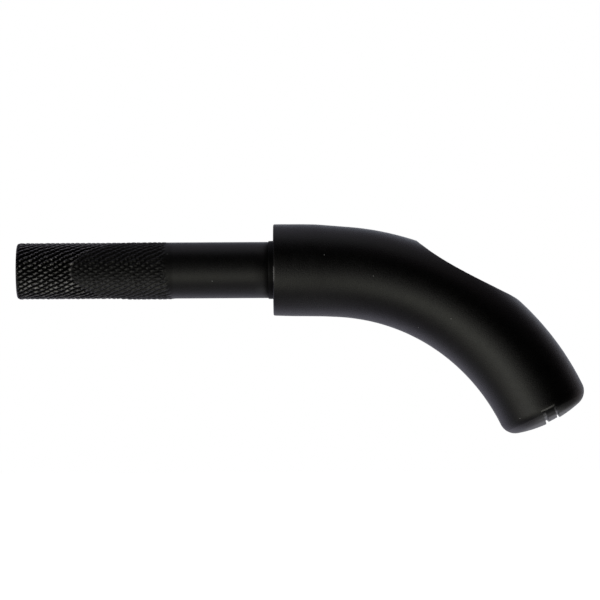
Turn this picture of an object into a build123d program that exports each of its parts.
from build123d import *
import math
import os

# A hand grip that turns on a knurled shank through two ball bearings.
# The origin is the centre of the shank's tip face. +X runs along the shank into the grip,
# +Z is up, and the grip bends down towards -Z in the XZ plane.
# "Front" is the side towards the tip (low X), "rear" the side away from it. Lengths in mm.

os.makedirs("parts", exist_ok=True)

# ---------------------------------------------------------------- bearings and journal
JOURNAL_R = 6.00
JOURNAL_END_X = 118.25
JOURNAL_CHAMFER = 0.4

BEARING_WIDTH = 5.0
BEARING_BORE_R = JOURNAL_R
BEARING_OUTER_R = 10.50
FRONT_X = 90.85                  # front faces of the two bearings
REAR_X = 110.85
BALL_R = 1.165
BALL_COUNT = 13
PITCH_R = (BEARING_BORE_R + BEARING_OUTER_R) / 2
RACE_GAP = 0.045                 # between a ball and the bottom of its race
RACE_R = 1.25
INNER_LAND_R = 7.55
OUTER_LAND_R = 8.95
INNER_RING_CHAMFER = 0.2
OUTER_RING_CHAMFER = 0.25
SHIELD_R = (7.63, 9.35)
SHIELD_SEAT_DEPTH = 0.45         # steps in the outer ring's two faces
SHIELD_INSET = (0.12, 0.42)      # the shield's faces, in from the bearing's face
CAGE_R = (7.68, 8.82)
CAGE_X = (-1.72, 0.30)           # from the bearing's mid plane
POCKET_GAP = 0.06
POCKET_DRILL = 2.0

BORE_FIT = 0.02                  # spacer and washer over the journal
SPACER_R, SPACER_CHAMFER = 7.20, 0.15
WASHER_R, WASHER_CHAMFER = 7.25, 0.08

CIRCLIP_GROOVE_R = 5.72
CIRCLIP_GROOVE_X = (116.45, 117.55)
CIRCLIP_R = 7.15
CIRCLIP_SIDE_GAP = 0.02

# ---------------------------------------------------------------- shank
SHANK_R = 9.525                  # 3/4 inch bar
SHANK_END_X = 90.05              # end of the full-diameter bar, hidden in the mouth
SHANK_CHAMFER = 0.5
KNURL_R = 9.60                   # over the crests
KNURL_END_X = 51.75
KNURL_FADE = 2.2                 # the crests run out over this length
TIP_ROUND = 1.10
TIP_CHORDS = 6                   # straight chords round the tip's corner
SHOULDER_R = 7.30                # the front inner ring stands against it

# ---------------------------------------------------------------- grip
MOUTH_X = 86.85
MOUTH_R = 15.50
MOUTH_ROUND = 0.6
BEND_CENTRE = (104.79, -81.70)   # x, z
BEND_RADIUS = 81.11              # of the centreline
BEND_DEG = 63.64
END_R = 15.45

# Sections before the bend: x, z, radius, downward slope in degrees
MOUTH_SECTIONS = [
    (MOUTH_X, 0.0, MOUTH_R, 0.0), (89.35, -0.03, 15.54, 0.8), (92.35, -0.09, 15.58, 0.8),
    (95.35, -0.125, 15.61, 0.6), (98.35, -0.16, 15.605, 1.0), (101.35, -0.235, 15.58, 2.2),
    (104.85, -0.42, 15.47, 3.3),
]
# Sections round the bend: degrees along the arc, radius
BEND_SECTIONS = [
    (4, 15.37), (9, 15.35), (15, 15.31), (22, 15.29), (29, 15.31),
    (36, 15.35), (43, 15.40), (50, 15.44), (57, 15.46), (BEND_DEG, END_R),
]
# Thumb rest cut straight across the outside of the bend: x, z
SCOOP_FLOOR = [
    (135.63, 9.54), (136.63, 8.64), (137.79, 7.76), (139.94, 6.09), (143.32, 3.79),
    (146.71, 1.70), (150.10, -0.22), (153.49, -2.05), (156.89, -3.80), (160.30, -5.51),
    (163.70, -7.22), (167.12, -8.91), (169.70, -10.40), (171.98, -12.16),
]
# The rest of the cutter's outline, clear of the grip: x, z
SCOOP_CLOSING = [(175.4, -10.6), (200.0, 12.0), (180.0, 40.0), (132.4, 40.0), (132.4, 14.0)]
SCOOP_HALF_WIDTH = 30

SLEEVE_BORE_R = 12.00            # bore of the grip for the bearing sleeve
SLEEVE_BORE_END_X = 118.85
BORE_CHAMFER = 0.4
HOLLOW_R = 11.00                 # bent hollow through to the plug
HOLLOW_START_DEG = 8.0

# Retaining ring in the mouth, and its groove
RING_X = (89.05, 90.25)
RING_GROOVE_R = SLEEVE_BORE_R + 0.6
RING_INNER_R = 10.75
RING_GAP = 0.02                  # to the groove's bottom and front face

SLEEVE_X = (RING_X[1], 118.65)
SLEEVE_CHAMFER = 0.3
SLEEVE_RIB_R = 9.35              # inward rib between the bearings

# ---------------------------------------------------------------- end of the grip
# Heights are along the end axis, from the end of the bend.
DOME_TOP = 7.18
DOME_R = 42.0
CORNER_R = 5.35
PART_HEIGHT = 3.0                # plane where the plug meets the grip
END_OVERLAP = 0.4                # of the grip's end piece with the bend

CHANNEL_CENTRE = 0.87
CHANNEL_WIDTH = 5.24
CHANNEL_DEPTH = 1.20
STRAP_CENTRE = 1.00
STRAP_WIDTH = 3.1
STRAP_INSETS = (0.36, 1.16)      # the strap's two faces below the dome surface
STRAP_SIDE_GAP = 0.05
TAB_HEIGHTS = (2.05, 2.70)       # turned-in ends of the strap
TAB_Y = (11.0, 13.95)
RIM_SLOT_Y = (11.0, 16.0)
PLUG_SLOT_Y = (10.9, 13.5)

SPIGOT_R = 12.20
SPIGOT_BASE = -5.0
SPIGOT_CHAMFER = 0.5
SPIGOT_END_GAP = 0.3
PLUG_HOLLOW_R = 8.0
PLUG_HOLLOW_TOP = 3.2
SEAL_HEIGHT = -1.6
SEAL_RING_R = 11.31
SEAL_CORD_R = 0.88
SEAL_GROOVE_R = 10.40
SEAL_GROOVE_HALF = 1.0

REACH = 20                       # sideways, clear of the grip
ABOVE_DOME = 12


# ---------------------------------------------------------------- helpers
ALONG_X = Plane(origin=(0, 0, 0), x_dir=(0, 0, 1), z_dir=(1, 0, 0))


def turn(points):
    """Solid of revolution about +X from a closed list of (radius, x)."""
    face = make_face(Plane.XZ * Polyline(*points, close=True))
    return ALONG_X.location * revolve(face, Axis.Z)


def ring(r0, r1, x0, x1, chamfer=0.0):
    """Ring about +X, its four corners chamfered if asked."""
    if chamfer == 0:
        return turn([(r0, x0), (r1, x0), (r1, x1), (r0, x1)])
    return turn([
        (r0 + chamfer, x0), (r1 - chamfer, x0), (r1, x0 + chamfer), (r1, x1 - chamfer),
        (r1 - chamfer, x1), (r0 + chamfer, x1), (r0, x1 - chamfer), (r0, x0 + chamfer),
    ])


def torus_x(major, minor, x):
    return Location((x, 0, 0), (0, 90, 0)) * Torus(major, minor)


def cylinder_x(radius, length, x, y, z):
    return Location((x, y, z), (0, 90, 0)) * Cylinder(radius, length)


def cylinder_z(radius, z0, z1):
    return Pos(0, 0, (z0 + z1) / 2) * Cylinder(radius, z1 - z0)


def box_span(x0, x1, y0, y1, z0, z1):
    return Pos((x0 + x1) / 2, (y0 + y1) / 2, (z0 + z1) / 2) * Box(x1 - x0, y1 - y0, z1 - z0)


def snap_ring(r0, r1, x0, x1, gap_deg, lug_r, lug_pitch_r, hole_r):
    """Open ring with a pierced lug on each side of its gap, which is centred on -Z."""
    body = ring(r0, r1, x0, x1)
    half_gap = math.radians(gap_deg / 2)
    wedge_y = REACH * math.sin(half_gap)
    wedge_z = -REACH * math.cos(half_gap)
    wedge = make_face(Plane.YZ * Polyline(
        (0, 0), (-wedge_y, wedge_z), (0, -REACH * 1.6), (wedge_y, wedge_z), close=True))
    body = body - Pos(x0 - 1, 0, 0) * extrude(wedge, x1 - x0 + 2)
    x = (x0 + x1) / 2
    lug_angle = half_gap + lug_r / lug_pitch_r * 0.7
    for side in (-1, 1):
        y = side * lug_pitch_r * math.sin(lug_angle)
        z = -lug_pitch_r * math.cos(lug_angle)
        lug = cylinder_x(lug_r, x1 - x0, x, y, z)
        hole = cylinder_x(hole_r, x1 - x0 + 2, x, y, z)
        body = body + lug - hole
    return body


# ---------------------------------------------------------------- spindle
def make_spindle():
    points = [(0, 0)]
    for i in range(TIP_CHORDS + 1):
        angle = math.radians(90 / TIP_CHORDS * i)
        points.append((KNURL_R - TIP_ROUND + TIP_ROUND * math.sin(angle),
                       TIP_ROUND - TIP_ROUND * math.cos(angle)))
    groove_x0, groove_x1 = CIRCLIP_GROOVE_X
    points += [
        (KNURL_R, KNURL_END_X), (SHANK_R, KNURL_END_X + KNURL_FADE),
        (SHANK_R, SHANK_END_X - SHANK_CHAMFER), (SHANK_R - SHANK_CHAMFER, SHANK_END_X),
        (SHOULDER_R, SHANK_END_X), (SHOULDER_R, FRONT_X),
        (JOURNAL_R, FRONT_X), (JOURNAL_R, groove_x0),
        (CIRCLIP_GROOVE_R, groove_x0), (CIRCLIP_GROOVE_R, groove_x1),
        (JOURNAL_R, groove_x1), (JOURNAL_R, JOURNAL_END_X - JOURNAL_CHAMFER),
        (JOURNAL_R - JOURNAL_CHAMFER, JOURNAL_END_X), (0, JOURNAL_END_X),
    ]
    return turn(points)


# ---------------------------------------------------------------- frames along the grip
def frame_xz(x, z, slope_deg):
    """Axis directions for a frame in the XZ plane: (point, along, outward)."""
    slope = math.radians(slope_deg)
    along = (math.cos(slope), 0, -math.sin(slope))
    outward = (math.sin(slope), 0, math.cos(slope))
    return (x, 0, z), along, outward


def section(x, z, radius, slope_deg):
    """Circle square to the centreline."""
    point, along, _ = frame_xz(x, z, slope_deg)
    return Plane(origin=point, x_dir=(0, 1, 0), z_dir=along) * Circle(radius)


def bend_point(deg):
    """x, z on the bend's centreline."""
    angle = math.radians(deg)
    return (BEND_CENTRE[0] + BEND_RADIUS * math.sin(angle),
            BEND_CENTRE[1] + BEND_RADIUS * math.cos(angle))


# End frame: local x points to the outside of the bend, local z out along the end axis
end_point, end_along, end_outward = frame_xz(*bend_point(BEND_DEG), BEND_DEG)
END = Plane(origin=end_point, x_dir=end_outward, z_dir=end_along).location


# ---------------------------------------------------------------- shapes in the end frame
def dome_solid(inset, base):
    """Domed cylinder about local z, its surface set in by inset, flat at height base."""
    corner_x = END_R - CORNER_R
    dome_z = DOME_TOP - DOME_R
    corner_z = dome_z + math.sqrt((DOME_R - CORNER_R) ** 2 - corner_x ** 2)
    dome_r = DOME_R - inset
    corner_r = CORNER_R - inset
    side_r = END_R - inset

    # The dome and corner arcs meet on the line through their centres
    scale = dome_r / (DOME_R - CORNER_R)
    tangent = (corner_x * scale, 0, dome_z + (corner_z - dome_z) * scale)
    dome_half = math.atan2(corner_x, corner_z - dome_z) / 2
    dome_mid = (dome_r * math.sin(dome_half), 0, dome_z + dome_r * math.cos(dome_half))
    corner_half = math.atan2(tangent[2] - corner_z, tangent[0] - corner_x) / 2
    corner_mid = (corner_x + corner_r * math.cos(corner_half), 0,
                  corner_z + corner_r * math.sin(corner_half))
    top = (0, 0, DOME_TOP - inset)
    side_top = (side_r, 0, corner_z)
    outline = Curve() + [
        ThreePointArc(top, dome_mid, tangent),
        ThreePointArc(tangent, corner_mid, side_top),
        Line(side_top, (side_r, 0, base)),
        Line((side_r, 0, base), (0, 0, base)),
        Line((0, 0, base), top),
    ]
    return revolve(make_face(outline), Axis.Z)


def cross_bar(centre, width, base):
    """Block right across the end along y, from height base to above the dome."""
    return box_span(centre - width / 2, centre + width / 2, -REACH, REACH, base, ABOVE_DOME)


def slab(z0, z1):
    return box_span(-REACH, REACH, -REACH, REACH, z0, z1)


def channel_cutter(base):
    """Everything above an inset dome within the channel's width."""
    bar = cross_bar(CHANNEL_CENTRE, CHANNEL_WIDTH, base)
    return bar - dome_solid(CHANNEL_DEPTH, base - 5)


def strap_end_blocks(y_span, z0, z1, side_gap=0.0):
    """Two blocks in line with the strap, one at each of its ends."""
    half = STRAP_WIDTH / 2 + side_gap
    blocks = []
    for side in (-1, 1):
        y0, y1 = sorted(side * y for y in y_span)
        blocks.append(box_span(STRAP_CENTRE - half, STRAP_CENTRE + half, y0, y1, z0, z1))
    return blocks


# ---------------------------------------------------------------- grip shell
def grip_outer():
    sections = [section(*row) for row in MOUTH_SECTIONS]
    sections += [section(*bend_point(deg), radius, deg) for deg, radius in BEND_SECTIONS]
    return loft(sections)


def scoop_cutter():
    face = make_face(Plane.XZ * Polyline(*(SCOOP_FLOOR + SCOOP_CLOSING), close=True))
    return extrude(face, SCOOP_HALF_WIDTH, both=True)


def bent_hollow():
    """Round hollow along the bend, from the sleeve's bore to the plug."""
    start = section(*bend_point(HOLLOW_START_DEG), HOLLOW_R, HOLLOW_START_DEG)
    bend_axis = Axis((BEND_CENTRE[0], 0, BEND_CENTRE[1]), (0, 1, 0))
    return revolve(start, bend_axis, BEND_DEG - HOLLOW_START_DEG)


def make_grip():
    body = grip_outer()
    end_piece = dome_solid(0.0, -END_OVERLAP) & slab(-END_OVERLAP, PART_HEIGHT)
    body = body + END * end_piece

    # The lofted mouth edge may refuse the round; the grip then keeps a sharp mouth
    try:
        mouth_edges = [e for e in body.edges() if abs(e.center().X - MOUTH_X) < 1e-3]
        rounded = fillet(mouth_edges, MOUTH_ROUND)
        if rounded.is_valid:
            body = rounded
    except Exception as error:
        print("mouth round left out:", error)

    body = body - scoop_cutter()
    body = body - ring(0.0, SLEEVE_BORE_R, MOUTH_X - 5, SLEEVE_BORE_END_X)
    # chamfer at the mouth of the bore
    body = body - turn([
        (0, MOUTH_X - 1), (SLEEVE_BORE_R + BORE_CHAMFER, MOUTH_X - 1),
        (SLEEVE_BORE_R + BORE_CHAMFER, MOUTH_X), (SLEEVE_BORE_R, MOUTH_X + BORE_CHAMFER),
        (0, MOUTH_X + BORE_CHAMFER),
    ])
    body = body - ring(0.0, RING_GROOVE_R, *RING_X)
    body = body - bent_hollow()
    body = body - END * cylinder_z(SPIGOT_R, SPIGOT_BASE - SPIGOT_END_GAP, PART_HEIGHT + 1)
    body = body - END * channel_cutter(TAB_HEIGHTS[0])
    # slots that let the strap's turned-in ends through the rim
    for slot in strap_end_blocks(RIM_SLOT_Y, TAB_HEIGHTS[0], PART_HEIGHT + 1, STRAP_SIDE_GAP):
        body = body - END * slot
    return body


# ---------------------------------------------------------------- plug, strap and seal
def make_plug():
    head = dome_solid(0.0, -1.0) & slab(PART_HEIGHT, ABOVE_DOME)
    plug = head + cylinder_z(SPIGOT_R, SPIGOT_BASE + SPIGOT_CHAMFER, PART_HEIGHT)
    plug = plug + (Pos(0, 0, SPIGOT_BASE + SPIGOT_CHAMFER / 2)
                   * Cone(SPIGOT_R - SPIGOT_CHAMFER, SPIGOT_R, SPIGOT_CHAMFER))
    plug = plug - channel_cutter(PART_HEIGHT - 0.5)
    plug = plug - cylinder_z(PLUG_HOLLOW_R, SPIGOT_BASE - 1, PLUG_HOLLOW_TOP)
    groove_z = (SEAL_HEIGHT - SEAL_GROOVE_HALF, SEAL_HEIGHT + SEAL_GROOVE_HALF)
    plug = plug - (cylinder_z(SPIGOT_R + 1, *groove_z) - cylinder_z(SEAL_GROOVE_R, *groove_z))
    slot_base = TAB_HEIGHTS[0] - 0.05
    for slot in strap_end_blocks(PLUG_SLOT_Y, slot_base, PART_HEIGHT, STRAP_SIDE_GAP):
        plug = plug - slot
    return END * plug


def make_plug_clip():
    """Strap that follows the dome in the channel, with its two ends turned in."""
    outer_inset, inner_inset = STRAP_INSETS
    band = dome_solid(outer_inset, -2) - dome_solid(inner_inset, -4)
    band = band & cross_bar(STRAP_CENTRE, STRAP_WIDTH, TAB_HEIGHTS[0])
    for tab in strap_end_blocks(TAB_Y, *TAB_HEIGHTS):
        band = band + tab
    return END * band


def make_plug_seal():
    return END * (Pos(0, 0, SEAL_HEIGHT) * Torus(SEAL_RING_R, SEAL_CORD_R))


# ---------------------------------------------------------------- mouth
def make_mouth_seal():
    lip_r = SHANK_R + 0.05
    ring_x = RING_X[0]
    return turn([
        # lip on the shank, standing out of the mouth
        (lip_r, 85.30), (9.74, 85.25), (9.84, 85.65), (9.86, MOUTH_X - 0.05),
        # front face, stepped back at the rim
        (10.4, MOUTH_X + 0.15), (11.6, MOUTH_X + 0.15), (11.6, MOUTH_X + 0.45),
        # outer wall in the bore, back to the retaining ring
        (SLEEVE_BORE_R, MOUTH_X + 0.45), (SLEEVE_BORE_R, ring_x), (11.2, ring_x),
        # hollow in the rear face, then the inner wall
        (11.2, 87.80), (10.1, 87.80), (10.0, ring_x - 0.3), (lip_r, ring_x - 0.1),
    ])


def make_mouth_ring():
    return snap_ring(RING_INNER_R, RING_GROOVE_R - RING_GAP, RING_X[0] + RING_GAP, RING_X[1],
                     gap_deg=34, lug_r=0.95, lug_pitch_r=10.95, hole_r=0.45)


# ---------------------------------------------------------------- parts about the bearings
def make_circlip():
    return snap_ring(CIRCLIP_GROOVE_R + 0.01, CIRCLIP_R,
                     CIRCLIP_GROOVE_X[0] + CIRCLIP_SIDE_GAP,
                     CIRCLIP_GROOVE_X[1] - CIRCLIP_SIDE_GAP,
                     gap_deg=40, lug_r=0.85, lug_pitch_r=7.05, hole_r=0.4)


def make_sleeve():
    x0, x1 = SLEEVE_X
    c = SLEEVE_CHAMFER
    outer_r, seat_r = SLEEVE_BORE_R, BEARING_OUTER_R
    rib_x = FRONT_X + BEARING_WIDTH
    return turn([
        (seat_r + c, x0), (outer_r - c, x0), (outer_r, x0 + c), (outer_r, x1 - c),
        (outer_r - c, x1), (seat_r + c, x1), (seat_r, x1 - c), (seat_r, REAR_X),
        (SLEEVE_RIB_R, REAR_X), (SLEEVE_RIB_R, rib_x), (seat_r, rib_x), (seat_r, x0 + c),
    ])


def make_spacer():
    return ring(BEARING_BORE_R + BORE_FIT, SPACER_R, FRONT_X + BEARING_WIDTH, REAR_X,
                SPACER_CHAMFER)


def make_washer():
    return ring(BEARING_BORE_R + BORE_FIT, WASHER_R, REAR_X + BEARING_WIDTH,
                CIRCLIP_GROOVE_X[0], WASHER_CHAMFER)


# ---------------------------------------------------------------- ball bearings
def make_inner_ring(x0):
    body = ring(BEARING_BORE_R, INNER_LAND_R, x0, x0 + BEARING_WIDTH, INNER_RING_CHAMFER)
    race_pitch_r = PITCH_R - BALL_R - RACE_GAP + RACE_R
    return body - torus_x(race_pitch_r, RACE_R, x0 + BEARING_WIDTH / 2)


def make_outer_ring(x0):
    x1 = x0 + BEARING_WIDTH
    c = OUTER_RING_CHAMFER
    outer_r, seat_r = BEARING_OUTER_R, SHIELD_R[1]
    body = turn([
        (seat_r, x0), (outer_r - c, x0), (outer_r, x0 + c), (outer_r, x1 - c),
        (outer_r - c, x1), (seat_r, x1), (seat_r, x1 - SHIELD_SEAT_DEPTH),
        (OUTER_LAND_R, x1 - SHIELD_SEAT_DEPTH), (OUTER_LAND_R, x0 + SHIELD_SEAT_DEPTH),
        (seat_r, x0 + SHIELD_SEAT_DEPTH),
    ])
    race_pitch_r = PITCH_R + BALL_R + RACE_GAP - RACE_R
    return body - torus_x(race_pitch_r, RACE_R, x0 + BEARING_WIDTH / 2)


def ball_places(x0):
    """Ball centres round the pitch circle, local z pointing outwards."""
    centre = Pos(x0 + BEARING_WIDTH / 2, 0, PITCH_R)
    return [Rot(360.0 * i / BALL_COUNT, 0, 0) * centre for i in range(BALL_COUNT)]


def make_balls(x0):
    return Compound(children=[(place * Sphere(BALL_R)).solids()[0] for place in ball_places(x0)])


def make_cage(x0):
    """Band with round radial pockets that break out through its rear edge."""
    mid_x = x0 + BEARING_WIDTH / 2
    cage = ring(*CAGE_R, mid_x + CAGE_X[0], mid_x + CAGE_X[1])
    for place in ball_places(x0):
        cage = cage - place * Cylinder(BALL_R + POCKET_GAP, POCKET_DRILL)
    return cage


def make_front_shield(x0):
    near, far = SHIELD_INSET
    return ring(*SHIELD_R, x0 + near, x0 + far)


def make_rear_shield(x0):
    near, far = SHIELD_INSET
    x1 = x0 + BEARING_WIDTH
    return ring(*SHIELD_R, x1 - far, x1 - near)


# ---------------------------------------------------------------- write the parts
parts = {
    "spindle": make_spindle(),
    "grip_shell": make_grip(),
    "end_plug": make_plug(),
    "plug_clip": make_plug_clip(),
    "plug_seal": make_plug_seal(),
    "mouth_seal": make_mouth_seal(),
    "mouth_retaining_ring": make_mouth_ring(),
    "bearing_sleeve": make_sleeve(),
    "bearing_spacer": make_spacer(),
    "spindle_washer": make_washer(),
    "spindle_circlip": make_circlip(),
}
for side, x in (("front", FRONT_X), ("rear", REAR_X)):
    parts[side + "_inner_ring"] = make_inner_ring(x)
    parts[side + "_outer_ring"] = make_outer_ring(x)
    parts[side + "_balls"] = make_balls(x)
    parts[side + "_cage"] = make_cage(x)
    parts[side + "_shield_outer"] = make_front_shield(x)
    parts[side + "_shield_inner"] = make_rear_shield(x)

for name, shape in parts.items():
    solids = shape.solids()
    shape = solids[0] if len(solids) == 1 else Compound(children=list(solids))
    export_step(shape, f"parts/{name}.step")
